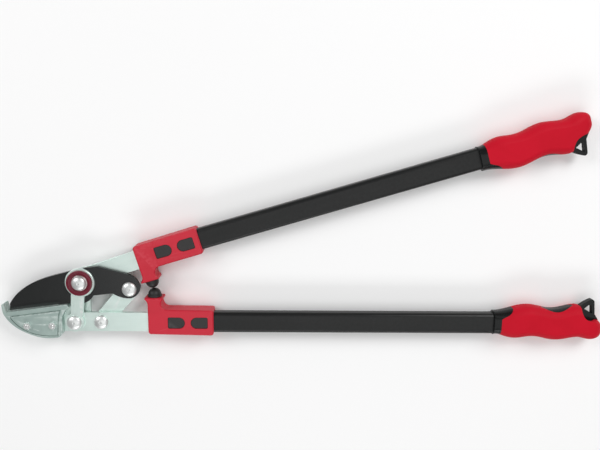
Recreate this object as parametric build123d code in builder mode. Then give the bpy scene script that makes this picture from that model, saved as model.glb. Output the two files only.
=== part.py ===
from build123d import *
import os
from math import cos, sin, radians

# Two-handled compound anvil lopper, lying flat on its back with the jaws closed.
# +X runs along the lower handle towards its grip, +Y towards the upper handle, +Z up.
# Everything is in millimetres.

# ---- driving dimensions -------------------------------------------------------------
arm_pivot = (-292.4, -123.7)      # pivot of the lower arm on the anvil arm
vertex_distance = 201.5           # from the crossing of the two handle axes to the arm pivot
handle_angle = 16.7               # between the handle axes with the jaws closed
mid_z = 15.0                      # mid-plane of tubes, sockets and grips

# Pivots, measured from the arm pivot.
link_pivot = (32.6, 0.0)
main_pivot = (8.8, 52.0)
tail_pivot = (69.9, 43.4)

# Heights of the stacked plates.
back_low = 10.0                   # anvil arm and drive link
back_high = 15.0
front_low = 15.2                  # blade and lower arm
front_high = 20.0
brace_low = 20.2
brace_high = 23.2
running_gap = 0.05                # radial play of a turning pin
washer_thickness = 1.5

# Lower arm, anvil arm and drive link.
arm_half_width = 12.4
tang_half_width = 11.0
anvil_arm_outer = -7.9            # edges of the anvil arm where it enters its socket
anvil_arm_inner = 15.8
arm_eye_radius = 14.5
main_eye_radius = 16.5
link_eye_radius = 11.2
link_tail_radius = 11.8
tail_hole_radius = 6.8            # oversize: the linkage is opened at this pivot

# Tubes and sockets, along a handle from the vertex.
tube_height = 27.0
tube_depth = 16.0
tube_corner = 5.0
tube_wall = 1.5
tube_start = 302.0
tube_end = 840.0
socket_start = 294.5
socket_end = 377.0
socket_depth = 22.0
tang_end = 372.0
post_middle = 302.0
flange_height = 33.0
bumper_radius = 8.85
bumper_apex = 43.95
rivet_places = (330.2, 359.0)
window_length = 21.6
window_height = 15.0
window_middle = 0.8

# Grips: distance along the handle, outer and inner half-heights, half-depth.
grip_sections = (
    (735.0, 14.8, 15.9, 11.5),
    (750.0, 17.0, 17.8, 13.5),
    (765.0, 19.1, 21.8, 15.0),
    (779.0, 17.2, 23.8, 15.5),
    (793.0, 17.5, 22.2, 15.3),
    (806.0, 20.4, 19.6, 15.2),
    (819.0, 21.3, 20.0, 15.2),
    (833.0, 19.1, 23.2, 15.4),
    (846.0, 17.8, 23.6, 15.4),
    (855.0, 19.8, 17.7, 14.8),
    (863.0, 20.8, 11.6, 13.2),
    (869.0, 19.6, 6.6, 11.0),
    (873.5, 16.9, 2.0, 7.5),
    (875.6, 12.4, -2.8, 3.5),
)
sleeve_thickness = 2.2
loop_thickness = 7.0
inlay_middle = 817.0
inlay_half_length = 21.0
inlay_half_width = 10.0
inlay_floor = 11.0
hanging_hole_corners = ((851.5, 20.0), (860.6, 27.8), (862.2, 13.8))

# ---- working planes -----------------------------------------------------------------
head = Plane(origin=(arm_pivot[0], arm_pivot[1], 0))
vertex = (arm_pivot[0] - vertex_distance, arm_pivot[1], 0)
handle = Plane(origin=vertex)
# The closed handles are mirror images in this upright plane.
half = radians(handle_angle / 2)
handle_mirror = Plane(origin=vertex, x_dir=(cos(half), sin(half), 0), z_dir=(-sin(half), cos(half), 0))
full = radians(handle_angle)


def across_handle(s):
    """Plane square to the lower handle at distance s: local x is inwards, local y is up."""
    return Plane(origin=(vertex[0] + s, vertex[1], mid_z), x_dir=(0, 1, 0), z_dir=(1, 0, 0))


def on_upper_handle(s, h):
    """Point of the upper handle's frame (s along, h inwards), measured from the arm pivot."""
    x = s * cos(full) + h * sin(full) - vertex_distance
    y = s * sin(full) - h * cos(full)
    return (x, y)


def upright(place):
    """Upright plane through a pivot: local x is +X, local y is +Z."""
    origin = (arm_pivot[0] + place[0], arm_pivot[1] + place[1], 0)
    return Plane(origin=origin, x_dir=(1, 0, 0), z_dir=(0, -1, 0))


def pivot_axis(place):
    return Axis((arm_pivot[0] + place[0], arm_pivot[1] + place[1], 0), (0, 0, 1))


def finish(piece, name):
    piece.part.label = name
    export_step(piece.part, "parts/" + name + ".step")


os.makedirs("parts", exist_ok=True)

# ---- anvil arm: root plate that carries the anvil, both frame pivots and the upper handle ----
upper_tang = (
    on_upper_handle(234.0, -5.4),
    on_upper_handle(socket_start, anvil_arm_outer),
    on_upper_handle(tube_start + 0.5, anvil_arm_outer - 0.6),
    on_upper_handle(tang_end, anvil_arm_outer - 0.6),
    on_upper_handle(tang_end, tang_half_width),
    on_upper_handle(tube_start + 0.5, tang_half_width),
    on_upper_handle(tube_start - 3.0, anvil_arm_inner),
    on_upper_handle(234.0, 18.7),
)
anvil_bolt_places = ((-58.4, -3.6), (-27.0, -3.0))
with BuildSketch(head.offset(back_low)) as anvil_arm_outline:
    with BuildLine():
        eye_left = (main_pivot[0] - main_eye_radius, main_pivot[1])
        eye_top = (main_pivot[0] - 0.3 * main_eye_radius, main_pivot[1] + 0.954 * main_eye_radius)
        Line(eye_left, (-12.5, 15.8))
        Line((-12.5, 15.8), (-59.4, 4.8))
        ThreePointArc((-59.4, 4.8), (-66.8, -3.6), (-58.4, -12.0))
        Line((-58.4, -12.0), (-22.0, -arm_eye_radius))
        Line((-22.0, -arm_eye_radius), (0, -arm_eye_radius))
        eye_corner = (arm_eye_radius * 0.7071, -arm_eye_radius * 0.7071)
        ThreePointArc((0, -arm_eye_radius), eye_corner, (arm_eye_radius, 0))
        Line((arm_eye_radius, 0), (18.4, 9.0))
        Line((18.4, 9.0), (18.4, 47.4))
        Polyline((18.4, 47.4), *reversed(upper_tang))
        Line(upper_tang[0], eye_top)
        ThreePointArc(
            eye_top,
            (main_pivot[0] - 0.8 * main_eye_radius, main_pivot[1] + 0.6 * main_eye_radius),
            eye_left,
        )
    make_face()

with BuildPart() as anvil_arm:
    add(anvil_arm_outline.sketch)
    extrude(amount=back_high - back_low)
    with BuildSketch(head.offset(back_low)):
        with Locations(main_pivot):
            Circle(6.0 + running_gap)
        Circle(5.0 + running_gap)
        with Locations(*anvil_bolt_places):
            Circle(2.6)
        with Locations(*[on_upper_handle(s, 0) for s in rivet_places]):
            Circle(3.0)
    extrude(amount=back_high - back_low, mode=Mode.SUBTRACT)
finish(anvil_arm, "anvil_arm")

# ---- anvil: die-cast block with a sloping seat, a beak at the pivot end and an upturned hook ----
anvil_high = 24.0
panel_high = 25.0
seat_left = (-84.6, 13.3)
seat_right = (-9.8, 23.7)
anvil_rebate = offset(anvil_arm_outline.sketch_local, 0.2)
with BuildPart() as anvil:
    with BuildSketch(head.offset(back_low)):
        with BuildLine():
            Line(seat_left, seat_right)
            ThreePointArc(seat_right, (-7.2, 22.7), (-6.4, 19.8))
            ThreePointArc((-6.4, 19.8), (-12.5, 13.4), (-15.9, 5.2))
            Line((-15.9, 5.2), (-15.9, -13.6))
            ThreePointArc((-15.9, -13.6), (-18.8, -18.1), (-24.4, -20.0))
            Spline((-24.4, -20.0), (-38.7, -20.4), (-58.4, -15.0), (-75.6, -5.0), (-88.8, 12.4))
            Line((-88.8, 12.4), (-89.9, 21.4))
            ThreePointArc((-89.9, 21.4), (-89.1, 23.8), (-87.2, 24.1))
            Line((-87.2, 24.1), seat_left)
        make_face()
    extrude(amount=anvil_high - back_low)
    with BuildSketch(head.offset(anvil_high)):
        with BuildLine():
            Line((-77.6, 7.5), (-17.8, 15.5))
            ThreePointArc((-17.8, 15.5), (-19.9, 8.0), (-20.7, 0.0))
            Line((-20.7, 0.0), (-22.2, -16.6))
            Spline((-22.2, -16.6), (-38.0, -16.4), (-56.6, -12.2), (-68.4, -5.2), (-78.2, 5.2))
            ThreePointArc((-78.2, 5.2), (-78.6, 6.7), (-77.6, 7.5))
        make_face()
    extrude(amount=panel_high - anvil_high)
    with BuildSketch(head.offset(back_low)):
        with Locations(*anvil_bolt_places):
            Circle(2.6)
    extrude(amount=panel_high - back_low, mode=Mode.SUBTRACT)
    # The back is rebated to take the tail of the anvil arm.
    with BuildSketch(head.offset(back_low)):
        add(anvil_rebate)
    extrude(amount=back_high - back_low, mode=Mode.SUBTRACT)
finish(anvil, "anvil")

# ---- anvil screws and nuts: pan heads at the back, hex nuts on the front panel ----------------
with BuildPart() as anvil_screws:
    with BuildSketch(head.offset(back_low - 2.6)):
        with Locations(*anvil_bolt_places):
            Circle(4.6)
    extrude(amount=2.6)
    with BuildSketch(head.offset(back_low)):
        with Locations(*anvil_bolt_places):
            Circle(2.5)
    extrude(amount=panel_high + 4.4 - back_low)
    chamfer(anvil_screws.edges().group_by(Axis.Z)[-1], 0.5)
    fillet(anvil_screws.edges().group_by(Axis.Z)[0], 1.2)
finish(anvil_screws, "anvil_screws")

with BuildPart() as anvil_nuts:
    with BuildSketch(head.offset(panel_high)):
        with Locations(*anvil_bolt_places):
            RegularPolygon(8.0 / 2, 6, major_radius=False)
        with Locations(*anvil_bolt_places):
            Circle(2.55, mode=Mode.SUBTRACT)
    extrude(amount=3.6)
finish(anvil_nuts, "anvil_nuts")

# ---- brace: front plate tying the main pivot to the arm pivot ---------------------------------
brace_top_radius = 18.5
brace_foot_radius = 12.0
with BuildPart() as brace_plate:
    with BuildSketch(head.offset(brace_low)):
        with Locations(main_pivot):
            Circle(brace_top_radius)
        Circle(brace_foot_radius)
        Polygon((-2.6, 37.0), (14.6, 37.0), (10.6, 8.0), (-4.2, 8.0), align=None)
        with Locations(main_pivot):
            Circle(6.0 + running_gap, mode=Mode.SUBTRACT)
        Circle(5.0 + running_gap, mode=Mode.SUBTRACT)
    extrude(amount=brace_high - brace_low)
    top_circles = brace_plate.edges().group_by(Axis.Z)[-1].filter_by(GeomType.CIRCLE)
    chamfer(top_circles.sort_by(SortBy.RADIUS)[-1:], 0.8)
finish(brace_plate, "brace_plate")

# ---- blade: coated plate with a two-sided bevel, hung on the main pivot --------------------------
blade_thickness = front_high - front_low
edge_start = (-82.2, 14.0)
edge_end = (-11.0, 23.9)
bush_radius = 9.0
with BuildPart() as blade:
    with BuildSketch(head.offset(front_low)):
        with BuildLine():
            Line(edge_start, (-80.8, 23.8))
            Spline((-80.8, 23.8), (-66.9, 40.3), (-41.0, 55.2), (-10.0, 64.5), (16.0, 70.6), (31.5, 72.2))
            Line((31.5, 72.2), (66.8, 63.0))
            ThreePointArc((66.8, 63.0), (79.2, 55.2), (83.3, 46.9))
            ThreePointArc((83.3, 46.9), (80.4, 37.2), (70.9, 31.2))
            Spline((70.9, 31.2), (61.4, 32.0), (48.6, 37.6))
            Line((48.6, 37.6), (24.2, 34.6))
            ThreePointArc((24.2, 34.6), (20.0, 29.0), (12.8, 25.0))
            Line((12.8, 25.0), edge_end)
            Line(edge_end, edge_start)
        make_face()
        with Locations(main_pivot):
            Circle(bush_radius, mode=Mode.SUBTRACT)
        with Locations(tail_pivot):
            Circle(4.0 + running_gap, mode=Mode.SUBTRACT)
    extrude(amount=blade_thickness)
    # Grind: a wedge taken off each side of the cutting edge.
    edge_plane = Plane(
        origin=(arm_pivot[0] + edge_start[0] - 1.0, arm_pivot[1] + edge_start[1] - 0.13, 0),
        x_dir=(-(edge_end[1] - edge_start[1]), edge_end[0] - edge_start[0], 0),
        z_dir=(edge_end[0] - edge_start[0], edge_end[1] - edge_start[1], 0),
    )
    with BuildSketch(edge_plane):
        for low, high in ((front_low, front_low + 2.2), (front_high, front_high - 2.2)):
            Polygon((-0.5, low), (9.0, low), (-0.5, high), align=None)
    extrude(amount=64.0, mode=Mode.SUBTRACT)
finish(blade, "blade")

with BuildPart() as main_pivot_bush:
    with BuildSketch(head.offset(front_low)):
        with Locations(main_pivot):
            Circle(bush_radius)
            Circle(6.0 + running_gap, mode=Mode.SUBTRACT)
    extrude(amount=blade_thickness)
finish(main_pivot_bush, "main_pivot_bush")

# ---- lower arm: bar on the arm pivot whose tang is riveted into the lower tube --------------------
tang_shoulder = tube_start - vertex_distance
with BuildPart() as lower_arm:
    with BuildSketch(head.offset(front_low)):
        with BuildLine():
            ThreePointArc((0, arm_half_width), (-arm_half_width, 0), (0, -arm_half_width))
            Polyline(
                (0, -arm_half_width),
                (tang_shoulder, -arm_half_width),
                (tang_shoulder, -tang_half_width),
                (tang_end - vertex_distance, -tang_half_width),
                (tang_end - vertex_distance, tang_half_width),
                (tang_shoulder, tang_half_width),
                (tang_shoulder, arm_half_width),
                (0, arm_half_width),
            )
        make_face()
        Circle(5.0 + running_gap, mode=Mode.SUBTRACT)
        with Locations(link_pivot):
            Circle(4.5 + running_gap, mode=Mode.SUBTRACT)
        with Locations(*[(s - vertex_distance, 0) for s in rivet_places]):
            Circle(3.0, mode=Mode.SUBTRACT)
    extrude(amount=front_high - front_low)
finish(lower_arm, "lower_arm")

# ---- drive link: back plate from the lower arm to the blade's tail --------------------------------
with BuildPart() as drive_link:
    with BuildSketch(head.offset(back_low)):
        with BuildLine():
            link_left = (link_pivot[0] - 0.758 * link_eye_radius, link_pivot[1] + 0.652 * link_eye_radius)
            link_right = (link_pivot[0] + 0.758 * link_eye_radius, link_pivot[1] - 0.652 * link_eye_radius)
            tail_left = (tail_pivot[0] - 0.758 * link_tail_radius, tail_pivot[1] + 0.652 * link_tail_radius)
            tail_right = (tail_pivot[0] + 0.758 * link_tail_radius, tail_pivot[1] - 0.652 * link_tail_radius)
            ThreePointArc(
                link_left,
                (link_pivot[0] - 0.652 * link_eye_radius, link_pivot[1] - 0.758 * link_eye_radius),
                link_right,
            )
            Line(link_right, tail_right)
            ThreePointArc(
                tail_right,
                (tail_pivot[0] + 0.652 * link_tail_radius, tail_pivot[1] + 0.758 * link_tail_radius),
                tail_left,
            )
            Line(tail_left, link_left)
        make_face()
        with Locations(link_pivot):
            Circle(4.5 + running_gap, mode=Mode.SUBTRACT)
        with Locations(tail_pivot):
            Circle(tail_hole_radius, mode=Mode.SUBTRACT)
    extrude(amount=back_high - back_low)
finish(drive_link, "drive_link")


# ---- pivot hardware: domed bolts, washers and nuts ---------------------------------------------------
def domed_bolt(place, shank_radius, head_radius, head_low, head_height, shank_low):
    """Bolt with a domed head on the front, dimpled at the middle."""
    rim = 1.2
    with BuildPart() as bolt:
        with BuildSketch(upright(place)):
            with BuildLine():
                Polyline(
                    (0, head_low + head_height - 0.7),
                    (0, shank_low),
                    (shank_radius - 0.6, shank_low),
                    (shank_radius, shank_low + 0.6),
                    (shank_radius, head_low),
                    (head_radius, head_low),
                    (head_radius, head_low + rim),
                )
                ThreePointArc(
                    (head_radius, head_low + rim),
                    (head_radius * 0.66, head_low + rim + (head_height - rim) * 0.66),
                    (2.0, head_low + head_height),
                )
                Line((2.0, head_low + head_height), (0, head_low + head_height - 0.7))
            make_face()
        revolve(axis=pivot_axis(place))
    return bolt.part


def washer(place, outer_radius, inner_radius, low, thickness):
    with BuildPart() as ring:
        with BuildSketch(head.offset(low)):
            with Locations(place):
                Circle(outer_radius)
                Circle(inner_radius, mode=Mode.SUBTRACT)
        extrude(amount=thickness)
    return ring.part


def hex_nut(place, across_flats, hole_radius, high, thickness):
    with BuildPart() as nut:
        with BuildSketch(head.offset(high)):
            with Locations(place):
                RegularPolygon(across_flats / 2, 6, major_radius=False)
                Circle(hole_radius, mode=Mode.SUBTRACT)
        extrude(amount=-thickness)
    return nut.part


# name, place, shank radius, head radius, head base, head height, nut across flats, nut thickness,
# front of the back washer
pivots = (
    ("main_pivot", main_pivot, 6.0, 9.0, brace_high + washer_thickness, 5.5, 19.0, 7.0, back_low),
    ("arm_pivot", (0, 0), 5.0, 9.3, brace_high, 5.5, 16.0, 5.0, back_low),
    ("link_pivot", link_pivot, 4.5, 9.1, front_high, 5.5, 14.0, 5.0, back_low - 0.2),
    ("tail_pivot", tail_pivot, 4.0, 9.3, front_high, 5.5, 14.0, 5.0, back_low - 0.2),
)
for name, place, shank, head_radius, head_low, head_height, flats, thickness, washer_high in pivots:
    washer_low = washer_high - washer_thickness
    with BuildPart() as bolt:
        add(domed_bolt(place, shank, head_radius, head_low, head_height, washer_low - thickness - 1.5))
    finish(bolt, name + "_bolt")
    with BuildPart() as back_washer:
        add(washer(place, flats * 0.5 + 4.0, shank + running_gap, washer_low, washer_thickness))
    finish(back_washer, name + "_washer")
    with BuildPart() as nut:
        add(hex_nut(place, flats, shank, washer_low, thickness))
    finish(nut, name + "_nut")

with BuildPart() as main_pivot_front_washer:
    add(washer(main_pivot, 9.9, 6.0 + running_gap, brace_high, washer_thickness))
finish(main_pivot_front_washer, "main_pivot_front_washer")

# Dished plastic ring round the main pivot, stepped on its inner slope.
ring_outer = 16.1
with BuildPart() as main_pivot_ring:
    with BuildSketch(upright(main_pivot)):
        with BuildLine():
            Polyline(
                (10.1, brace_high),
                (ring_outer, brace_high),
                (ring_outer, brace_high + 2.6),
                (ring_outer - 0.8, brace_high + 3.2),
                (14.0, brace_high + 3.2),
                (13.6, brace_high + 2.4),
                (12.4, brace_high + 2.1),
                (12.0, brace_high + 1.4),
                (10.1, brace_high + 1.1),
                (10.1, brace_high),
            )
        make_face()
    revolve(axis=pivot_axis(main_pivot))
finish(main_pivot_ring, "main_pivot_ring")

# ---- handle pieces, made for the lower handle and mirrored for the upper ------------------------------


def make_socket(arm_outer, arm_inner, arm_low, arm_high):
    """Moulded socket: tube mouth on the right, arm slot on the left, bumper post on the inner side."""
    low = mid_z - socket_depth / 2
    with BuildPart() as socket:
        with BuildSketch(handle.offset(low)):
            with BuildLine():
                Line((socket_start, 24.5), (socket_start, -11.0))
                ThreePointArc((socket_start, -11.0), (socket_start + 1.0, -13.4), (socket_start + 3.4, -14.5))
                Line((socket_start + 3.4, -14.5), (socket_end - 3.6, -16.0))
                ThreePointArc((socket_end - 3.6, -16.0), (socket_end - 1.0, -14.8), (socket_end, -12.4))
                Line((socket_end, -12.4), (socket_end, 14.0))
                ThreePointArc((socket_end, 14.0), (socket_end - 1.0, 16.4), (socket_end - 3.6, 17.4))
                Line((socket_end - 3.6, 17.4), (320.0, 17.9))
                ThreePointArc((320.0, 17.9), (313.6, 20.3), (311.2, 25.6))
                ThreePointArc((311.2, 25.6), (311.7, 28.4), (313.2, 30.4))
                Line((313.2, 30.4), (313.2, flange_height))
                Line((313.2, flange_height), (290.8, flange_height))
                Line((290.8, flange_height), (290.8, 31.0))
                ThreePointArc((290.8, 31.0), (293.4, 28.2), (socket_start, 24.5))
            make_face()
        extrude(amount=socket_depth)
        chamfer(socket.edges().group_by(Axis.Z)[-1], 1.2)
        chamfer(socket.edges().group_by(Axis.Z)[0], 1.2)
        # Mouth for the tube.
        with BuildSketch(across_handle(tube_start)):
            RectangleRounded(tube_height, tube_depth, tube_corner)
        extrude(amount=socket_end - tube_start + 1.0, mode=Mode.SUBTRACT)
        # Slot for the arm.
        with BuildSketch(handle.offset(arm_low)):
            with Locations(((socket_start + tube_start) / 2 - 2.0, (arm_outer + arm_inner) / 2)):
                Rectangle(tube_start - socket_start + 5.0, arm_inner - arm_outer)
        extrude(amount=arm_high - arm_low, mode=Mode.SUBTRACT)
        # Bumper stem hole.
        post_foot = (vertex[0] + post_middle, vertex[1] + flange_height, mid_z)
        with BuildSketch(Plane(origin=post_foot, z_dir=(0, 1, 0))):
            Circle(3.5)
        extrude(amount=-9.0, mode=Mode.SUBTRACT)
        # Rivet windows on both faces.
        add(window_blocks(low, mid_z - tube_depth / 2), mode=Mode.SUBTRACT)
        add(window_blocks(mid_z + tube_depth / 2, low + socket_depth), mode=Mode.SUBTRACT)
    return socket.part


def window_blocks(low, high, inset=0.0):
    """The two D-shaped rivet windows of a socket face, round ends towards each other."""
    radius = window_height / 2 - inset
    reach = window_length / 2 - inset
    with BuildPart() as blocks:
        for place, side in zip(rivet_places, (1, -1)):
            with BuildSketch(handle.offset(low)):
                with BuildLine():
                    straight = place + side * (reach - radius)
                    blunt = place - side * (reach - 2.0)
                    flat = place - side * reach
                    top = window_middle + radius
                    bottom = window_middle - radius
                    round_end = (straight + side * radius, window_middle)
                    ThreePointArc((straight, top), round_end, (straight, bottom))
                    Line((straight, bottom), (blunt, bottom))
                    ThreePointArc((blunt, bottom), (flat + side * 0.6, bottom + 0.6), (flat, bottom + 2.0))
                    Line((flat, bottom + 2.0), (flat, top - 2.0))
                    ThreePointArc((flat, top - 2.0), (flat + side * 0.6, top - 0.6), (blunt, top))
                    Line((blunt, top), (straight, top))
                make_face()
            extrude(amount=high - low)
    return blocks.part


def make_plugs():
    """Four flush plugs that hide the rivets, two on each face."""
    face = socket_depth / 2
    with BuildPart() as plugs:
        add(window_blocks(mid_z + face - 1.8, mid_z + face - 0.5, 0.1))
        add(window_blocks(mid_z - face + 0.5, mid_z - face + 1.8, 0.1))
    return plugs.part


def make_tube():
    """Flat-sided oval tube with its two rivet holes."""
    with BuildPart() as tube:
        with BuildSketch(across_handle(tube_start)):
            RectangleRounded(tube_height, tube_depth, tube_corner)
            RectangleRounded(
                tube_height - 2 * tube_wall,
                tube_depth - 2 * tube_wall,
                tube_corner - tube_wall,
                mode=Mode.SUBTRACT,
            )
        extrude(amount=tube_end - tube_start)
        with BuildSketch(handle.offset(mid_z - tube_depth)):
            with Locations(*[(s, 0) for s in rivet_places]):
                Circle(3.0)
        extrude(amount=2 * tube_depth, mode=Mode.SUBTRACT)
    return tube.part


def make_packers(arm_low, arm_high):
    """Two strips that pack the tang tight between the tube's flat walls."""
    inner_low = mid_z - tube_depth / 2 + tube_wall
    inner_high = mid_z + tube_depth / 2 - tube_wall
    middle = (tube_start + tang_end) / 2
    with BuildPart() as packers:
        for low, high in ((inner_low, arm_low), (arm_high, inner_high)):
            with BuildSketch(handle.offset(low)):
                with Locations((middle, 0)):
                    RectangleRounded(tang_end - tube_start - 3.0, 16.0, 2.0)
                with Locations(*[(s, 0) for s in rivet_places]):
                    Circle(3.0, mode=Mode.SUBTRACT)
            extrude(amount=high - low)
    return packers.part


def make_rivets():
    """Two steel rivets through tube, packers and tang, headed on both sides of the tube."""
    outside = tube_depth / 2
    with BuildPart() as rivets:
        for s in rivet_places:
            for radius, low, height in (
                (3.0, mid_z - outside, tube_depth),
                (5.2, mid_z - outside - 1.1, 1.1),
                (5.2, mid_z + outside, 1.1),
            ):
                with BuildSketch(handle.offset(low)):
                    with Locations((s, 0)):
                        Circle(radius)
                extrude(amount=height)
    return rivets.part


def make_bumper():
    """Domed rubber stop with a stem pushed into the post."""
    middle = Plane(origin=(vertex[0] + post_middle, vertex[1], mid_z))
    shoulder = bumper_apex - bumper_radius
    with BuildPart() as bumper:
        with BuildSketch(middle):
            with BuildLine():
                Polyline(
                    (1.0, bumper_apex),
                    (0, bumper_apex),
                    (0, flange_height - 8.5),
                    (3.45, flange_height - 8.5),
                    (3.45, flange_height),
                    (bumper_radius, flange_height),
                    (bumper_radius, shoulder),
                )
                ThreePointArc(
                    (bumper_radius, shoulder),
                    (bumper_radius * 0.7071 + 0.4, shoulder + bumper_radius * 0.7071),
                    (1.0, bumper_apex),
                )
            make_face()
        revolve(axis=Axis((vertex[0] + post_middle, vertex[1], mid_z), (0, 1, 0)))
    return bumper.part


def grip_envelope(shrink):
    """Outer form of the grip, taken in by shrink on every side."""
    with BuildPart() as envelope:
        for s, outer, inner, depth in grip_sections:
            end_inset = shrink if s > 860.0 else 0.0
            height = outer + inner - 2 * shrink
            thick = 2 * (depth - shrink)
            with BuildSketch(across_handle(s - end_inset)):
                with Locations(((inner - outer) / 2, 0)):
                    RectangleRounded(height, thick, 0.42 * min(height, thick))
        loft()
    return envelope.part


def rear_zone(low, high):
    """Inner rear corner of the grip, where the sleeve stops short of the hanging loop."""
    with BuildPart() as corner:
        with BuildSketch(handle.offset(low)):
            with BuildLine():
                Spline((846.0, 23.0), (847.0, 13.5), (852.0, 8.4), (861.0, 6.0), (880.0, 4.8))
                Polyline((880.0, 4.8), (880.0, 40.0), (846.0, 40.0), (846.0, 23.0))
            make_face()
        extrude(amount=high - low)
    return corner.part


def shown_zones():
    """Where the core shows: the front collar, a lens on the inner side and the inner rear corner."""
    with BuildPart() as zones:
        with BuildSketch(handle.offset(-5)):
            with BuildLine():
                Polyline((761.0, 30.0), (730.0, 30.0), (730.0, -30.0), (743.6, -30.0), (743.6, 8.0))
                Spline((743.6, 8.0), (747.5, 10.4), (752.5, 13.0), (757.5, 17.5), (761.0, 30.0))
            make_face()
        extrude(amount=2 * mid_z + 10)
        inlay_base = (vertex[0] + inlay_middle, vertex[1] + inlay_floor, mid_z)
        with BuildSketch(Plane(origin=inlay_base, x_dir=(1, 0, 0), z_dir=(0, 1, 0))):
            tips = ((-inlay_half_length, 0), (inlay_half_length, 0))
            with BuildLine():
                ThreePointArc(tips[0], (0, inlay_half_width), tips[1])
                ThreePointArc(tips[1], (0, -inlay_half_width), tips[0])
            make_face()
        extrude(amount=20.0)
        add(rear_zone(-5.0, 2 * mid_z + 5.0))
    return zones.part


def hanging_loop():
    """Flat ear at the inner rear corner of the grip."""
    with BuildPart() as ear:
        with BuildSketch(handle.offset(mid_z - loop_thickness / 2)):
            with BuildLine():
                Line((843.0, 6.0), (846.0, 24.0))
                ThreePointArc((846.0, 24.0), (852.5, 28.6), (858.6, 31.8))
                ThreePointArc((858.6, 31.8), (862.2, 32.0), (864.2, 29.4))
                Polyline((864.2, 29.4), (865.8, 13.0), (870.6, 5.6), (870.0, 1.0))
                Polyline((870.0, 1.0), (862.0, -2.0), (843.0, 6.0))
            make_face()
        extrude(amount=loop_thickness)
    return ear.part


def grip_slab():
    """Space between the two flat lands of the grip."""
    with BuildPart() as slab:
        with BuildSketch(handle):
            with Locations((800.0, 0)):
                Rectangle(200.0, 100.0)
        extrude(amount=2 * mid_z)
    return slab.part


def make_grip_core():
    """Hard core pushed over the tube's end, with the hanging loop moulded on."""
    with BuildPart() as shown:
        add(shown_zones())
        add(grip_envelope(0.0), mode=Mode.INTERSECT)
    with BuildPart() as core:
        add(grip_envelope(sleeve_thickness))
        add(shown.part)
        # Behind the sleeve the core thins down to the loop on both faces.
        add(rear_zone(-5.0, mid_z - loop_thickness / 2), mode=Mode.SUBTRACT)
        add(rear_zone(mid_z + loop_thickness / 2, 2 * mid_z + 5.0), mode=Mode.SUBTRACT)
        add(hanging_loop())
        with BuildSketch(handle.offset(-5)):
            Polygon(*hanging_hole_corners, align=None)
        extrude(amount=2 * mid_z + 10, mode=Mode.SUBTRACT)
        with BuildSketch(across_handle(730.0)):
            RectangleRounded(tube_height, tube_depth, tube_corner)
        extrude(amount=tube_end - 730.0, mode=Mode.SUBTRACT)
        add(grip_slab(), mode=Mode.INTERSECT)
    return core.part


def make_grip_sleeve():
    """Soft sleeve moulded over the core, covering the rear horn."""
    with BuildPart() as sleeve:
        add(grip_envelope(0.0))
        add(grip_envelope(sleeve_thickness), mode=Mode.SUBTRACT)
        add(shown_zones(), mode=Mode.SUBTRACT)
        add(hanging_loop(), mode=Mode.SUBTRACT)
        with BuildSketch(across_handle(730.0)):
            RectangleRounded(tube_height + 0.2, tube_depth + 0.2, tube_corner + 0.1)
        extrude(amount=tube_end - 730.0, mode=Mode.SUBTRACT)
        add(grip_slab(), mode=Mode.INTERSECT)
    return sleeve.part


lower_pieces = (
    ("socket", make_socket(-arm_half_width, arm_half_width, front_low, front_high)),
    ("socket_plugs", make_plugs()),
    ("tube", make_tube()),
    ("tang_packers", make_packers(front_low, front_high)),
    ("tang_rivets", make_rivets()),
    ("bumper", make_bumper()),
    ("grip_core", make_grip_core()),
    ("grip_sleeve", make_grip_sleeve()),
)
for name, shape in lower_pieces:
    with BuildPart() as piece:
        add(shape)
    finish(piece, "lower_" + name)

# The upper handle is the same set turned over, apart from the slot height of the anvil arm.
upper_pieces = (
    ("socket", make_socket(anvil_arm_outer - 0.6, anvil_arm_inner + 0.2, back_low, back_high)),
    ("socket_plugs", make_plugs()),
    ("tube", make_tube()),
    ("tang_packers", make_packers(back_low, back_high)),
    ("tang_rivets", make_rivets()),
    ("bumper", make_bumper()),
    ("grip_core", make_grip_core()),
    ("grip_sleeve", make_grip_sleeve()),
)
for name, shape in upper_pieces:
    with BuildPart() as piece:
        mirror(shape, about=handle_mirror)
    finish(piece, "upper_" + name)
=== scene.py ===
import math
import bpy
from mathutils import Matrix, Vector


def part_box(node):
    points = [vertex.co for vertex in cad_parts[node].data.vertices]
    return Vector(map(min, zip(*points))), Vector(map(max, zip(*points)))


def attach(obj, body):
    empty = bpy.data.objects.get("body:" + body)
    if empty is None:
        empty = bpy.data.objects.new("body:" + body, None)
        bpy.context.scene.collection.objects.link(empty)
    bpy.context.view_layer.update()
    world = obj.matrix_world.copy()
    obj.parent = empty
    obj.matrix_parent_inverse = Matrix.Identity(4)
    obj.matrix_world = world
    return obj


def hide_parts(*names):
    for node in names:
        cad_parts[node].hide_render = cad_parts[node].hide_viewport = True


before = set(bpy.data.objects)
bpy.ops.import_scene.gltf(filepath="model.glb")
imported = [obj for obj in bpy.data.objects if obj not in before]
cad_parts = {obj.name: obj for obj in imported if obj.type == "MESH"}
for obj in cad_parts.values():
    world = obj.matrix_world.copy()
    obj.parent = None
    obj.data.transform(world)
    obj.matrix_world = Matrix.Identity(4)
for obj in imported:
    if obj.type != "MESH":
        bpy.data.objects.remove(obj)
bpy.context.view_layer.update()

# ---- floor, lights and camera ---------------------------------------------------------------
# A plain pale sheet under the tool, one broad soft box overhead and two weaker ones at the
# sides. The camera looks down on the jaws and handles from a little beyond the upper handle.
bpy.ops.object.select_all(action="DESELECT")
bpy.ops.mesh.primitive_grid_add(x_subdivisions=8, y_subdivisions=8, size=6.0, location=(0, 0, -0.0005))
floor = bpy.context.object
floor.name = "floor"
floor_paper = bpy.data.materials.new("pale_paper")
floor_paper.use_nodes = True
floor_shader = floor_paper.node_tree.nodes["Principled BSDF"]
floor_shader.inputs["Base Color"].default_value = (0.93, 0.93, 0.93, 1)
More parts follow.
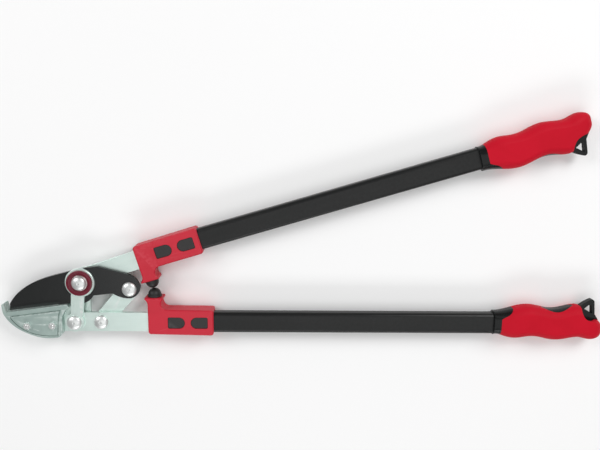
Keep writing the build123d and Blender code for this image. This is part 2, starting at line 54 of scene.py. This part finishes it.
floor_shader.inputs["Roughness"].default_value = 0.9
floor_shader.inputs["Specular IOR Level"].default_value = 0.1
floor.data.materials.append(floor_paper)

world = bpy.data.worlds.new("studio")
bpy.context.scene.world = world
world.use_nodes = True
world.node_tree.nodes["Background"].inputs["Color"].default_value = (1.0, 1.0, 1.0, 1)
world.node_tree.nodes["Background"].inputs["Strength"].default_value = 0.26
bpy.context.scene.view_settings.view_transform = "Standard"

for name, place, aim, size, power in (
    ("overhead_box", (0.35, -0.45, 1.7), (0.35, -0.45, 0), (2.2, 1.2), 8.6),
    ("right_box", (1.2, 1.3, 1.5), (0.1, 0, 0), (1.0, 1.0), 24.0),
    ("left_box", (-1.5, 0.9, 1.3), (-0.2, 0, 0), (0.9, 0.9), 15.0),
    ("near_box", (0.0, -2.1, 1.2), (0, 0, 0), (1.8, 0.5), 16.0),
):
    bpy.ops.object.light_add(type="AREA", location=place)
    lamp = bpy.context.object
    lamp.name = name
    lamp.data.shape = "RECTANGLE"
    lamp.data.size, lamp.data.size_y = size
    lamp.data.energy = power
    lamp.rotation_euler = (Vector(aim) - Vector(place)).to_track_quat("-Z", "Y").to_euler()

camera_aim = Vector((-0.00823, -0.00034, 0.0))
camera_distance = 0.800
camera_turn = (
    Matrix.Rotation(math.radians(-1.05), 4, "Y")
    @ Matrix.Rotation(math.radians(-11.17), 4, "X")
    @ Matrix.Rotation(math.radians(0.62), 4, "Z")
)
camera_data = bpy.data.cameras.new("camera")
camera_data.sensor_width = 36.0
camera_data.lens = 37.76
camera = bpy.data.objects.new("camera", camera_data)
bpy.context.scene.collection.objects.link(camera)
camera.matrix_world = (
    Matrix.Translation(camera_aim) @ camera_turn @ Matrix.Translation((0, 0, camera_distance))
)
bpy.context.scene.camera = camera

# ---- steel plates: anvil arm, lower arm, drive link and brace -----------------------------------
# Blanked from 3 to 5 mm carbon steel and satin nickel plated. The press leaves rounded edges,
# and the plating keeps the fine lengthwise grain of the rolled sheet.


def group_tree(name, inputs, outputs):
    """Empty shader node group with its input and output nodes."""
    tree = bpy.data.node_groups.new(name, "ShaderNodeTree")
    for label, kind, value in inputs:
        socket = tree.interface.new_socket(name=label, in_out="INPUT", socket_type=kind)
        socket.default_value = value
    for label, kind in outputs:
        tree.interface.new_socket(name=label, in_out="OUTPUT", socket_type=kind)
    start = tree.nodes.new("NodeGroupInput")
    end = tree.nodes.new("NodeGroupOutput")
    start.location = (-900, 0)
    end.location = (500, 0)
    return tree, start, end


# Grain of a surface: a fine noise that may be drawn out along one axis.
surface_grain, start, end = group_tree(
    "surface_grain",
    (
        ("Stretch", "NodeSocketVector", (1.0, 1.0, 1.0)),
        ("Turn", "NodeSocketFloat", 0.0),
        ("Scale", "NodeSocketFloat", 900.0),
        ("Roughness Low", "NodeSocketFloat", 0.3),
        ("Roughness High", "NodeSocketFloat", 0.45),
    ),
    (("Mask", "NodeSocketFloat"), ("Roughness", "NodeSocketFloat"), ("Height", "NodeSocketFloat")),
)
coordinates = surface_grain.nodes.new("ShaderNodeTexCoord")
turned = surface_grain.nodes.new("ShaderNodeVectorRotate")
turned.rotation_type = "Z_AXIS"
stretched = surface_grain.nodes.new("ShaderNodeVectorMath")
stretched.operation = "MULTIPLY"
noise = surface_grain.nodes.new("ShaderNodeTexNoise")
noise.inputs["Detail"].default_value = 5.0
noise.inputs["Roughness"].default_value = 0.6
spread = surface_grain.nodes.new("ShaderNodeMapRange")
spread.inputs["From Min"].default_value = 0.3
spread.inputs["From Max"].default_value = 0.7
links = surface_grain.links
links.new(coordinates.outputs["Object"], turned.inputs["Vector"])
links.new(start.outputs["Turn"], turned.inputs["Angle"])
links.new(turned.outputs["Vector"], stretched.inputs[0])
links.new(start.outputs["Stretch"], stretched.inputs[1])
links.new(stretched.outputs["Vector"], noise.inputs["Vector"])
links.new(start.outputs["Scale"], noise.inputs["Scale"])
links.new(noise.outputs["Fac"], spread.inputs["Value"])
links.new(start.outputs["Roughness Low"], spread.inputs["To Min"])
links.new(start.outputs["Roughness High"], spread.inputs["To Max"])
links.new(noise.outputs["Fac"], end.inputs["Mask"])
links.new(spread.outputs["Result"], end.inputs["Roughness"])
links.new(noise.outputs["Fac"], end.inputs["Height"])

# Patches of handling: broad soft noise, used for smudges, dust and uneven colour.
handling, start, end = group_tree(
    "handling",
    (("Scale", "NodeSocketFloat", 30.0), ("Amount", "NodeSocketFloat", 1.0)),
    (("Mask", "NodeSocketFloat"),),
)
coordinates = handling.nodes.new("ShaderNodeTexCoord")
noise = handling.nodes.new("ShaderNodeTexNoise")
noise.inputs["Detail"].default_value = 3.0
noise.inputs["Roughness"].default_value = 0.55
noise.inputs["Distortion"].default_value = 0.4
spread = handling.nodes.new("ShaderNodeMapRange")
spread.inputs["From Min"].default_value = 0.38
spread.inputs["From Max"].default_value = 0.66
links = handling.links
links.new(coordinates.outputs["Object"], noise.inputs["Vector"])
links.new(start.outputs["Scale"], noise.inputs["Scale"])
links.new(noise.outputs["Fac"], spread.inputs["Value"])
links.new(start.outputs["Amount"], spread.inputs["To Max"])
links.new(spread.outputs["Result"], end.inputs["Mask"])

# Wear and a painted highlight along outside edges, broken up by noise, and painted shade held in the hollows.
edge_wear_and_highlight, start, end = group_tree(
    "edge_wear_and_highlight",
    (("Amount", "NodeSocketFloat", 0.6), ("Breakup Scale", "NodeSocketFloat", 260.0)),
    (("Mask", "NodeSocketFloat"), ("Hollow Shade", "NodeSocketFloat")),
)
geometry = edge_wear_and_highlight.nodes.new("ShaderNodeNewGeometry")
# Wear and painted highlight: convex edges, found from pointiness, are lightened towards the edge colour.
edges = edge_wear_and_highlight.nodes.new("ShaderNodeMapRange")
edges.inputs["From Min"].default_value = 0.55
edges.inputs["From Max"].default_value = 0.66
coordinates = edge_wear_and_highlight.nodes.new("ShaderNodeTexCoord")
noise = edge_wear_and_highlight.nodes.new("ShaderNodeTexNoise")
noise.inputs["Detail"].default_value = 4.0
breakup = edge_wear_and_highlight.nodes.new("ShaderNodeMapRange")
breakup.inputs["From Min"].default_value = 0.35
breakup.inputs["From Max"].default_value = 0.6
product = edge_wear_and_highlight.nodes.new("ShaderNodeMath")
product.operation = "MULTIPLY"
links = edge_wear_and_highlight.links
links.new(geometry.outputs["Pointiness"], edges.inputs["Value"])
links.new(start.outputs["Amount"], edges.inputs["To Max"])
links.new(coordinates.outputs["Object"], noise.inputs["Vector"])
links.new(start.outputs["Breakup Scale"], noise.inputs["Scale"])
links.new(noise.outputs["Fac"], breakup.inputs["Value"])
links.new(edges.outputs["Result"], product.inputs[0])
links.new(breakup.outputs["Result"], product.inputs[1])
links.new(product.outputs["Value"], end.inputs["Mask"])
# Painted shade: where pointiness falls below 0.46 the surface counts as a hollow, and its colour is darkened there.
hollow_shade_mask = edge_wear_and_highlight.nodes.new("ShaderNodeMapRange")
hollow_shade_mask.inputs["From Min"].default_value = 0.46
hollow_shade_mask.inputs["From Max"].default_value = 0.37
links.new(geometry.outputs["Pointiness"], hollow_shade_mask.inputs["Value"])
links.new(hollow_shade_mask.outputs["Result"], end.inputs["Hollow Shade"])


def finish_material(
    name, colour, patch_colour, wear_and_highlight_colour, metallic, rough, scale, stretch=(1, 1, 1), turn=0.0,
    bump=0.1, depth=0.0001, patch_scale=30.0, patch_amount=0.5, wear_and_highlight=0.5, grain_colour=0.4,
    specular=0.5,
):
    """Surface with grain, patches of handling, worn edges with a painted highlight and painted shade in the hollows.
    Returns the material and its shader.
    """
    material = bpy.data.materials.new(name)
    material.use_nodes = True
    nodes = material.node_tree.nodes
    join = material.node_tree.links.new
    shader = nodes["Principled BSDF"]
    shader.inputs["Metallic"].default_value = metallic
    shader.inputs["Specular IOR Level"].default_value = specular
    grain = nodes.new("ShaderNodeGroup")
    grain.node_tree = surface_grain
    grain.inputs["Stretch"].default_value = stretch
    grain.inputs["Turn"].default_value = math.radians(turn)
    grain.inputs["Scale"].default_value = scale
    grain.inputs["Roughness Low"].default_value = rough[0]
    grain.inputs["Roughness High"].default_value = rough[1]
    patches = nodes.new("ShaderNodeGroup")
    patches.node_tree = handling
    patches.inputs["Scale"].default_value = patch_scale
    patches.inputs["Amount"].default_value = patch_amount
    worn_and_lit_edges = nodes.new("ShaderNodeGroup")
    worn_and_lit_edges.node_tree = edge_wear_and_highlight
    worn_and_lit_edges.inputs["Amount"].default_value = wear_and_highlight
    base = nodes.new("ShaderNodeMix")
    base.data_type = "RGBA"
    base.inputs[6].default_value = (*colour, 1)
    base.inputs[7].default_value = (*patch_colour, 1)
    # Outside edges mixed towards a lighter colour: partly wear, partly a painted highlight.
    top = nodes.new("ShaderNodeMix")
    top.data_type = "RGBA"
    top.inputs[7].default_value = (*wear_and_highlight_colour, 1)
    # Painted shade: in the hollows the colour is mixed towards a copy of itself darkened to 0.22.
    hollow_shade = nodes.new("ShaderNodeMix")
    hollow_shade.data_type = "RGBA"
    hollow_shade.inputs[7].default_value = (*(c * 0.22 for c in colour), 1)
    raised = nodes.new("ShaderNodeBump")
    raised.inputs["Strength"].default_value = bump
    raised.inputs["Distance"].default_value = depth
    uneven = nodes.new("ShaderNodeMath")
    uneven.operation = "MULTIPLY_ADD"
    uneven.inputs[1].default_value = grain_colour
    uneven.use_clamp = True
    join(grain.outputs["Mask"], uneven.inputs[0])
    join(patches.outputs["Mask"], uneven.inputs[2])
    join(uneven.outputs["Value"], base.inputs[0])
    join(base.outputs[2], top.inputs[6])
    join(worn_and_lit_edges.outputs["Mask"], top.inputs[0])
    join(worn_and_lit_edges.outputs["Hollow Shade"], hollow_shade.inputs[0])
    join(top.outputs[2], hollow_shade.inputs[6])
    join(hollow_shade.outputs[2], shader.inputs["Base Color"])
    join(grain.outputs["Roughness"], shader.inputs["Roughness"])
    join(grain.outputs["Height"], raised.inputs["Height"])
    join(raised.outputs["Normal"], shader.inputs["Normal"])
    return material, shader


def softened_copy(node, name, width, segments=3, angle=32.0):
    """Copy of a CAD node with its edges rounded over, standing where the node stands."""
    bpy.ops.object.select_all(action="DESELECT")
    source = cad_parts[node]
    piece = bpy.data.objects.new(name, source.data.copy())
    bpy.context.scene.collection.objects.link(piece)
    piece.data.materials.clear()
    bpy.context.view_layer.objects.active = piece
    piece.select_set(True)
    bpy.ops.mesh.customdata_custom_splitnormals_clear()
    bpy.ops.object.mode_set(mode="EDIT")
    bpy.ops.mesh.select_all(action="SELECT")
    bpy.ops.mesh.remove_doubles(threshold=0.000004)
    bpy.ops.mesh.dissolve_limited(angle_limit=math.radians(0.6))
    bpy.ops.object.mode_set(mode="OBJECT")
    if width:
        bevel = piece.modifiers.new("rounding", "BEVEL")
        bevel.width = width
        bevel.segments = segments
        bevel.limit_method = "ANGLE"
        bevel.angle_limit = math.radians(angle)
        bevel.use_clamp_overlap = True
        bpy.ops.object.modifier_apply(modifier="rounding")
    bpy.ops.object.shade_smooth_by_angle(angle=math.radians(35.0))
    weighted = piece.modifiers.new("weighted", "WEIGHTED_NORMAL")
    weighted.keep_sharp = True
    weighted.weight = 80
    bpy.ops.object.modifier_apply(modifier="weighted")
    return piece


def place_piece(piece, body, slot, material, *nodes):
    """Give a finished piece its finish and its body, and hide the CAD nodes it stands for."""
    piece.data.materials.clear()
    piece.data.materials.append(material)
    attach(piece, body)
    if nodes:
        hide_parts(*nodes)


steel_pale = (0.79, 0.92, 0.87)
steel_patch = (0.72, 0.85, 0.80)
# Lighter colour for the plates' outside edges: wear and a painted highlight.
steel_edge_wear_and_highlight = (0.93, 0.97, 0.95)
plates = (
    ("anvil_arm", "frame", 0.0005, 17.0),
    ("lower_arm", "lower_handle", 0.0005, 0.0),
    ("drive_link", "drive_link", 0.0005, 49.3),
    ("brace_plate", "frame", 0.0007, 80.0),
)
for node, body, width, turn in plates:
    satin_nickel, shader = finish_material(
        node + "_satin_nickel", steel_pale, steel_patch, steel_edge_wear_and_highlight, 0.85, (0.30, 0.50), 900.0,
        stretch=(0.04, 1.0, 1.0), turn=-turn, bump=0.25, depth=0.00006, patch_scale=28.0,
        patch_amount=0.6, wear_and_highlight=0.9, grain_colour=0.8,
    )
    plate = softened_copy(node, node + "_plate", width)
    place_piece(plate, body, "plate_steel", satin_nickel, node)

# ---- anvil ------------------------------------------------------------------------------------
# Zinc die casting with a sloping seat for the edge, an upturned hook and a raised panel.
# A shallow groove runs round the foot of the panel, and the whole is left with a fine cast skin.


def select_faces(piece, test):
    """Enter edit mode with only the faces selected whose centre and normal pass the test."""
    bpy.context.view_layer.objects.active = piece
    bpy.ops.object.mode_set(mode="EDIT")
    bpy.ops.mesh.select_all(action="DESELECT")
    bpy.ops.mesh.select_mode(type="FACE")
    bpy.ops.object.mode_set(mode="OBJECT")
    for face in piece.data.polygons:
        face.select = test(face.center, face.normal)
    bpy.ops.object.mode_set(mode="EDIT")


def select_points(piece, test):
    """Enter edit mode with only the points selected that pass the test."""
    bpy.context.view_layer.objects.active = piece
    bpy.ops.object.mode_set(mode="EDIT")
    bpy.ops.mesh.select_all(action="DESELECT")
    bpy.ops.mesh.select_mode(type="VERT")
    bpy.ops.object.mode_set(mode="OBJECT")
    for point in piece.data.vertices:
        point.select = test(point.co)
    bpy.ops.object.mode_set(mode="EDIT")


def round_edges(piece, width, segments=3, angle=32.0):
    """Round the sharp edges of a piece and shade it smooth between them."""
    bpy.ops.object.select_all(action="DESELECT")
    piece.select_set(True)
    bpy.context.view_layer.objects.active = piece
    bevel = piece.modifiers.new("rounding", "BEVEL")
    bevel.width = width
    bevel.segments = segments
    bevel.limit_method = "ANGLE"
    bevel.angle_limit = math.radians(angle)
    bevel.use_clamp_overlap = True
    bpy.ops.object.modifier_apply(modifier="rounding")
    bpy.ops.object.shade_smooth_by_angle(angle=math.radians(35.0))
    weighted = piece.modifiers.new("weighted", "WEIGHTED_NORMAL")
    weighted.keep_sharp = True
    weighted.weight = 80
    bpy.ops.object.modifier_apply(modifier="weighted")


anvil_piece = softened_copy("anvil", "anvil_casting", 0)
panel_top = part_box("anvil")[1].z
rim_top = panel_top - 0.001


def panel_block(name, low):
    """The raised panel as a block of its own, from the given height up to the panel's face."""
    block = softened_copy("anvil", name, 0)
    select_faces(block, lambda centre, normal: normal.z > 0.99 and abs(centre.z - panel_top) < 0.0002)
    bpy.ops.mesh.select_all(action="INVERT")
    bpy.ops.mesh.delete(type="FACE")
    bpy.ops.mesh.select_all(action="SELECT")
    bpy.ops.mesh.extrude_region_move(TRANSFORM_OT_translate={"value": (0, 0, low - panel_top)})
    bpy.ops.mesh.select_all(action="SELECT")
    bpy.ops.mesh.normals_make_consistent(inside=False)
    bpy.ops.object.mode_set(mode="OBJECT")
    return block


def combine(piece, other, operation):
    """Cut another piece away from this one, or weld it on, and discard the other."""
    bpy.ops.object.select_all(action="DESELECT")
    piece.select_set(True)
    bpy.context.view_layer.objects.active = piece
    step = piece.modifiers.new("combine", "BOOLEAN")
    step.operation = operation
    step.solver = "EXACT"
    step.object = other
    bpy.ops.object.modifier_apply(modifier="combine")
    bpy.data.objects.remove(other)


groove_block = panel_block("groove_block", rim_top - 0.0003)
bpy.ops.object.select_all(action="DESELECT")
bpy.context.view_layer.objects.active = groove_block
bpy.ops.object.mode_set(mode="EDIT")
bpy.ops.mesh.select_all(action="SELECT")
bpy.ops.transform.shrink_fatten(value=0.0014, use_even_offset=True)
bpy.ops.object.mode_set(mode="OBJECT")
combine(anvil_piece, groove_block, "DIFFERENCE")
combine(anvil_piece, panel_block("panel_block", rim_top - 0.0019), "UNION")
select_points(anvil_piece, lambda place: True)
bpy.ops.mesh.remove_doubles(threshold=0.000004)
bpy.ops.mesh.dissolve_limited(angle_limit=math.radians(0.6))
bpy.ops.object.mode_set(mode="OBJECT")
round_edges(anvil_piece, 0.0005)
cast_zinc, shader = finish_material(
    "cast_zinc", (0.46, 0.57, 0.53), (0.37, 0.47, 0.44), (0.72, 0.80, 0.77), 0.55, (0.36, 0.52), 1500.0,
    bump=0.3, depth=0.00012, patch_scale=45.0, patch_amount=0.8, wear_and_highlight=0.9,
)
place_piece(anvil_piece, "frame", "anvil_cast", cast_zinc, "anvil")

# ---- anvil screws and nuts ------------------------------------------------------------------------
# Two M5 pan-head screws from the back, with plain hex nuts on the panel. Zinc-plated steel.
bright_zinc, shader = finish_material(
    "bright_zinc", (0.92, 0.94, 0.93), (0.84, 0.86, 0.85), (0.96, 0.97, 0.96), 0.9, (0.24, 0.34), 1200.0,
    bump=0.12, depth=0.00005, patch_scale=120.0, patch_amount=0.6, wear_and_highlight=0.4,
)
screws = softened_copy("anvil_screws", "anvil_screw_pair", 0.0003)
place_piece(screws, "frame", "zinc_steel", bright_zinc, "anvil_screws")


def chamfered_nuts(node, name, side):
    """Copy of hex nuts with the corners of the face away from the work turned down."""
    nuts = softened_copy(node, name, 0)
    low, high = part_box(node)
    level = high.z if side > 0 else low.z
    middle = (low.x + high.x) / 2
    one_nut = (high.x - low.x) < 0.030
    faces = {}
    for point in nuts.data.vertices:
        if abs(point.co.z - level) < 0.00002:
            faces.setdefault(one_nut or point.co.x < middle, []).append(point)
    chosen = []
    for members in faces.values():
        centre = sum((point.co for point in members), Vector()) / len(members)
        far = max((point.co - centre).length for point in members)
        chosen += [point.index for point in members if (point.co - centre).length > 0.93 * far]
    select_points(nuts, lambda place: False)
    bpy.ops.object.mode_set(mode="OBJECT")
    for index in chosen:
        nuts.data.vertices[index].select = True
    bpy.ops.object.mode_set(mode="EDIT")
    bpy.ops.mesh.bevel(offset=0.0009, affect="VERTICES", segments=1)
    bpy.ops.object.mode_set(mode="OBJECT")
    round_edges(nuts, 0.00025)
    return nuts


front_nuts = chamfered_nuts("anvil_nuts", "anvil_nut_pair", 1)
place_piece(front_nuts, "frame", "zinc_steel", bright_zinc, "anvil_nuts")

# ---- blade ----------------------------------------------------------------------------------------
# Hardened steel with a dark non-stick coating, ground from both sides to the cutting edge.
coated_black, shader = finish_material(
    "coated_black", (0.007, 0.008, 0.008), (0.010, 0.011, 0.011), (0.12, 0.13, 0.13), 0.0, (0.24, 0.34), 1300.0,
    bump=0.2, depth=0.00008, patch_scale=22.0, patch_amount=0.8, wear_and_highlight=0.35, specular=0.5,
)
blade_piece = softened_copy("blade", "blade_coated_plate", 0.0004)
place_piece(blade_piece, "blade", "blade_coated", coated_black, "blade")
bronze, shader = finish_material(
    "sintered_bronze", (0.52, 0.36, 0.18), (0.44, 0.30, 0.16), (0.7, 0.52, 0.3), 0.9, (0.4, 0.55), 2000.0,
    bump=0.2, depth=0.00008,
)
bush = softened_copy("main_pivot_bush", "main_pivot_bush_ring", 0.0003)
place_piece(bush, "blade", "bush_bronze", bronze, "main_pivot_bush")

# ---- pivot hardware ---------------------------------------------------------------------------------
# Cold-headed bolts with polished domed heads on the front, each with a small pit at its middle,
# and washers with hex nuts behind.
polished_chrome, shader = finish_material(
    "polished_chrome", (0.82, 0.84, 0.83), (0.74, 0.76, 0.75), (0.92, 0.93, 0.92), 0.85, (0.36, 0.46), 900.0,
    bump=0.05, depth=0.00004, patch_scale=90.0, patch_amount=0.5, wear_and_highlight=0.2,
)


def turned_piece(name, middle, profile, closed, sides=72):
    """Piece turned about an upright axis: a circle extruded and scaled from step to step."""
    bpy.ops.object.select_all(action="DESELECT")
    radius, height = profile[0]
    bpy.ops.mesh.primitive_circle_add(
        vertices=sides, radius=radius, fill_type="NOTHING", location=(middle[0], middle[1], height)
    )
    piece = bpy.context.object
    piece.name = name
    bpy.ops.object.transform_apply(location=True, rotation=True, scale=True)
    bpy.ops.object.mode_set(mode="EDIT")
    bpy.ops.mesh.select_all(action="SELECT")
    if not closed:
        bpy.ops.mesh.edge_face_add()
        bpy.ops.mesh.select_all(action="SELECT")
    steps = profile[1:] + (profile[0],) if closed else profile[1:]
    for next_radius, next_height in steps:
        bpy.ops.mesh.extrude_region_move(TRANSFORM_OT_translate={"value": (0, 0, next_height - height)})
        ratio = next_radius / radius
        bpy.ops.transform.resize(
            value=(ratio, ratio, 1), center_override=(middle[0], middle[1], next_height)
        )
        radius, height = next_radius, next_height
    bpy.ops.mesh.select_all(action="SELECT")
    bpy.ops.mesh.remove_doubles(threshold=0.000002)
    bpy.ops.mesh.normals_make_consistent(inside=False)
    bpy.ops.object.mode_set(mode="OBJECT")
    bpy.ops.object.shade_smooth_by_angle(angle=math.radians(40.0))
    return piece


for node, body in (
    ("main_pivot", "frame"), ("arm_pivot", "frame"), ("link_pivot", "lower_handle"), ("tail_pivot", "blade")
):
    low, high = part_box(node + "_bolt")
    x = (low.x + high.x) / 2
    y = (low.y + high.y) / 2
    head_radius = (high.x - low.x) / 2
    shank = {"main_pivot": 0.006, "arm_pivot": 0.005, "link_pivot": 0.0045, "tail_pivot": 0.004}[node]
    head_low = high.z - 0.0055
    dome = [(head_radius - 0.0003, head_low), (head_radius, head_low + 0.0003), (head_radius, head_low + 0.0011)]
    for step in range(1, 10):
        turn = math.radians(step * 8.6)
        dome.append((head_radius * math.cos(turn), head_low + 0.0011 + 0.0042 * math.sin(turn)))
    dome += [(0.0019, high.z - 0.0001), (0.0016, high.z - 0.0005), (0.0013, high.z - 0.0011), (0.0002, high.z - 0.0013)]
    bolt = turned_piece(
        node + "_domed_bolt",
        (x, y),
        ((shank - 0.0006, low.z), (shank, low.z + 0.0006), (shank, head_low)) + tuple(dome),
        False,
    )
    place_piece(bolt, body, "bolt_chrome", polished_chrome, node + "_bolt")
    back_washer = softened_copy(node + "_washer", node + "_back_washer", 0.0003)
    place_piece(back_washer, body, "zinc_steel", bright_zinc, node + "_washer")
    back_nut = chamfered_nuts(node + "_nut", node + "_back_nut", -1)
    place_piece(back_nut, body, "zinc_steel", bright_zinc, node + "_nut")

# ---- main pivot trim ------------------------------------------------------------------------------
# A pressed washer under the main bolt's head, and a dished red plastic ring stepped down to it.
brushed_washer, shader = finish_material(
    "washer_steel", (0.74, 0.70, 0.69), (0.66, 0.62, 0.61), (0.88, 0.86, 0.85), 1.0, (0.22, 0.36), 1400.0,
    bump=0.1, depth=0.00005, patch_scale=120.0,
)
front_washer = softened_copy("main_pivot_front_washer", "main_pivot_pressed_washer", 0.0004)
place_piece(front_washer, "frame", "washer_steel", brushed_washer, "main_pivot_front_washer")
ring_red, shader = finish_material(
    "ring_red_plastic", (0.16, 0.006, 0.022), (0.12, 0.005, 0.018), (0.40, 0.06, 0.10), 0.0, (0.28, 0.38), 1800.0,
    bump=0.15, depth=0.00005, patch_scale=80.0, wear_and_highlight=0.3,
)
low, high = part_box("main_pivot_ring")
outer = (high.x - low.x) / 2
ring = turned_piece(
    "main_pivot_stepped_ring",
    ((low.x + high.x) / 2, (low.y + high.y) / 2),
    (
        (0.0101, low.z), (outer - 0.0003, low.z), (outer, low.z + 0.0003), (outer, high.z - 0.0009),
        (outer - 0.0003, high.z - 0.0003), (outer - 0.0010, high.z), (outer - 0.0020, high.z - 0.0001),
        (0.0137, high.z - 0.0006), (0.0135, high.z - 0.0013), (0.0130, high.z - 0.0015),
        (0.0120, high.z - 0.0016), (0.0118, high.z - 0.0022), (0.0104, high.z - 0.0024),
        (0.0101, high.z - 0.0026),
    ),
    True,
)
place_piece(ring, "frame", "ring_plastic", ring_red, "main_pivot_ring")

# ---- tubes --------------------------------------------------------------------------------------------
# Flat-sided steel tubes, drawn and powder coated black.
for side, body, turn in (("lower", "lower_handle", 0.0), ("upper", "frame", 16.7)):
    powder_black, shader = finish_material(
        side + "_tube_powder_black", (0.0035, 0.004, 0.004), (0.005, 0.0056, 0.0056), (0.04, 0.04, 0.04), 0.0,
        (0.30, 0.40), 1500.0, bump=0.25, depth=0.00008, patch_scale=14.0, patch_amount=0.8, wear_and_highlight=0.2,
        specular=0.34,
    )
    tube = softened_copy(side + "_tube", side + "_oval_tube", 0)
    place_piece(tube, body, "tube_black", powder_black, side + "_tube")
    hidden_plastic, shader = finish_material(
        side + "_packer_plastic", (0.03, 0.03, 0.03), (0.04, 0.04, 0.04), (0.08, 0.08, 0.08), 0.0, (0.4, 0.6), 900.0,
    )
    packers = softened_copy(side + "_tang_packers", side + "_tang_packer_pair", 0.0003)
    place_piece(packers, body, "packer_plastic", hidden_plastic, side + "_tang_packers")
    rivets = softened_copy(side + "_tang_rivets", side + "_tang_rivet_pair", 0.0003)
    place_piece(rivets, body, "zinc_steel", bright_zinc, side + "_tang_rivets")

# ---- sockets, plugs and bumpers ---------------------------------------------------------------------------
# Each socket is one glass-filled nylon moulding in crimson. Dark plugs are snapped over the rivet
# windows, and a black rubber bumper is pushed into the post so that the two handles stop softly.
crimson_nylon, shader = finish_material(
    "crimson_nylon", (0.56, 0.008, 0.030), (0.50, 0.006, 0.024), (0.66, 0.08, 0.11), 0.0, (0.40, 0.52), 1700.0,
    bump=0.3, depth=0.0001, patch_scale=26.0, patch_amount=0.7, wear_and_highlight=0.35,
)
plug_grey, shader = finish_material(
    "plug_grey", (0.020, 0.018, 0.018), (0.015, 0.014, 0.014), (0.06, 0.06, 0.06), 0.0, (0.4, 0.55), 1600.0,
    bump=0.3, depth=0.0001, patch_scale=60.0,
)
bumper_black, shader = finish_material(
    "bumper_black_rubber", (0.006, 0.006, 0.006), (0.009, 0.009, 0.009), (0.03, 0.03, 0.03), 0.0, (0.42, 0.60), 1500.0,
    bump=0.3, depth=0.0001, patch_scale=90.0,
)
handle_angle = math.radians(16.7)
arm_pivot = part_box("arm_pivot_bolt")
vertex = Vector(((arm_pivot[0].x + arm_pivot[1].x) / 2 - 0.2015, (arm_pivot[0].y + arm_pivot[1].y) / 2, 0))


def to_upper_handle(piece):
    """Mirror a piece made on the lower handle to the upper one, about the line half-way between."""
    bpy.ops.object.select_all(action="DESELECT")
    piece.select_set(True)
    bpy.context.view_layer.objects.active = piece
    flip = Matrix.Diagonal((1, -1, 1, 1))
    about = Matrix.Translation(vertex) @ Matrix.Rotation(handle_angle, 4, "Z") @ flip @ Matrix.Translation(-vertex)
    piece.matrix_world = about
    bpy.ops.object.transform_apply(location=True, rotation=True, scale=True)
    bpy.ops.object.mode_set(mode="EDIT")
    bpy.ops.mesh.select_all(action="SELECT")
    bpy.ops.mesh.normals_make_consistent(inside=False)
    bpy.ops.object.mode_set(mode="OBJECT")


def along_handle(piece, s):
    """Stand an upright turned piece on the lower handle's inner side, at distance s."""
    bpy.ops.object.select_all(action="DESELECT")
    piece.select_set(True)
    bpy.context.view_layer.objects.active = piece
    piece.matrix_world = Matrix.Translation(vertex + Vector((s, 0, 0.015))) @ Matrix.Rotation(math.radians(-90), 4, "X")
    bpy.ops.object.transform_apply(location=True, rotation=True, scale=True)


for side, body in (("lower", "lower_handle"), ("upper", "frame")):
    socket = softened_copy(side + "_socket", side + "_crimson_socket", 0.0007, segments=3)
    place_piece(socket, body, "socket_plastic", crimson_nylon, side + "_socket")
    plugs = softened_copy(side + "_socket_plugs", side + "_window_plugs", 0.0006)
    place_piece(plugs, body, "plug_plastic", plug_grey, side + "_socket_plugs")
    base = 0.033
    apex = 0.04395
    profile = [(0.0030, base - 0.0085), (0.00345, base - 0.0080), (0.00345, base), (0.0085, base + 0.00005)]
    profile += [(0.0088, base + 0.0004), (0.0088, base + 0.0022), (0.0085, base + 0.0026), (0.0081, base + 0.0027)]
    for step in range(1, 12):
        turn = math.radians(step * 7.6)
        profile.append((0.0081 * math.cos(turn), base + 0.0027 + (apex - base - 0.0027) * math.sin(turn) * 1.0))
    profile.append((0.0002, apex))
    bumper = turned_piece(side + "_domed_bumper", (0, 0), tuple(profile), False, sides=64)
    along_handle(bumper, 0.302)
    if side == "upper":
        to_upper_handle(bumper)
    place_piece(bumper, body, "bumper_rubber", bumper_black, side + "_bumper")

# ---- grips ------------------------------------------------------------------------------------------------
# A hard black core pushed over the tube's end, with the hanging loop moulded on, and a soft red
# sleeve moulded over it. The core shows at the front collar, in a slim inlay along the inner side
# and at the loop.
core_black, shader = finish_material(
    "core_black_plastic", (0.004, 0.005, 0.005), (0.006, 0.007, 0.007), (0.03, 0.034, 0.034), 0.0, (0.22, 0.32), 1500.0,
    bump=0.15, depth=0.00006, patch_scale=50.0, specular=0.25,
)
sleeve_red, shader = finish_material(
    "sleeve_soft_red", (0.56, 0.006, 0.022), (0.50, 0.005, 0.018), (0.60, 0.02, 0.04), 0.0, (0.50, 0.64), 2200.0,
    bump=0.35, depth=0.00012, patch_scale=20.0, patch_amount=0.6, wear_and_highlight=0.1, specular=0.10,
)
for side, body in (("lower", "lower_handle"), ("upper", "frame")):
    core = softened_copy(side + "_grip_core", side + "_grip_hard_core", 0.0004, angle=40.0)
    place_piece(core, body, "core_plastic", core_black, side + "_grip_core")
    sleeve = softened_copy(side + "_grip_sleeve", side + "_grip_soft_sleeve", 0.0005, angle=40.0)
    place_piece(sleeve, body, "sleeve_soft", sleeve_red, side + "_grip_sleeve")
